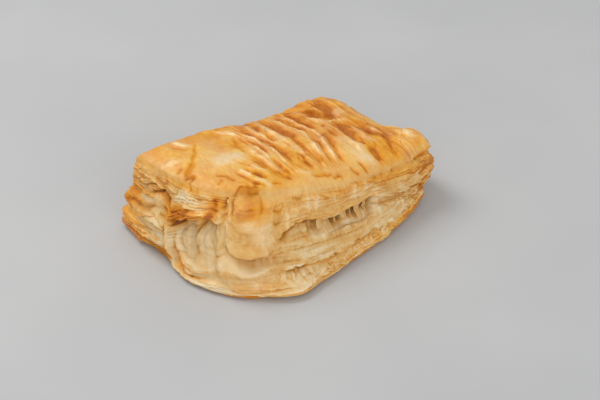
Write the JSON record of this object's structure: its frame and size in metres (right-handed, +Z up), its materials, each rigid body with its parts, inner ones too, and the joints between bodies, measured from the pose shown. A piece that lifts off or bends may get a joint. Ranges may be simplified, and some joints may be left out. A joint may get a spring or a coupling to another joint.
{
  "type": "toaster pastry",
  "caption": "Baked puff pastry with a pleated, glazed top, a torn mouth along one long side, a hollow and lobes at its thick end and a flat base.",
  "frame": {"origin": "middle of the bounding box, on the flat underside", "axes": "+X along the length towards the thin end, -Y towards the long side with the open mouth, +Z up"},
  "size_m": [0.1156, 0.0856, 0.0375],
  "materials": {
    "baked_crust": "flaky baked dough, golden brown on the pleats and edges, pale in the crevices, under a thin clear sugar glaze"
  },
  "bodies": {
    "root": {"pastry": "baked_crust"}
  },
  "joints": []
}
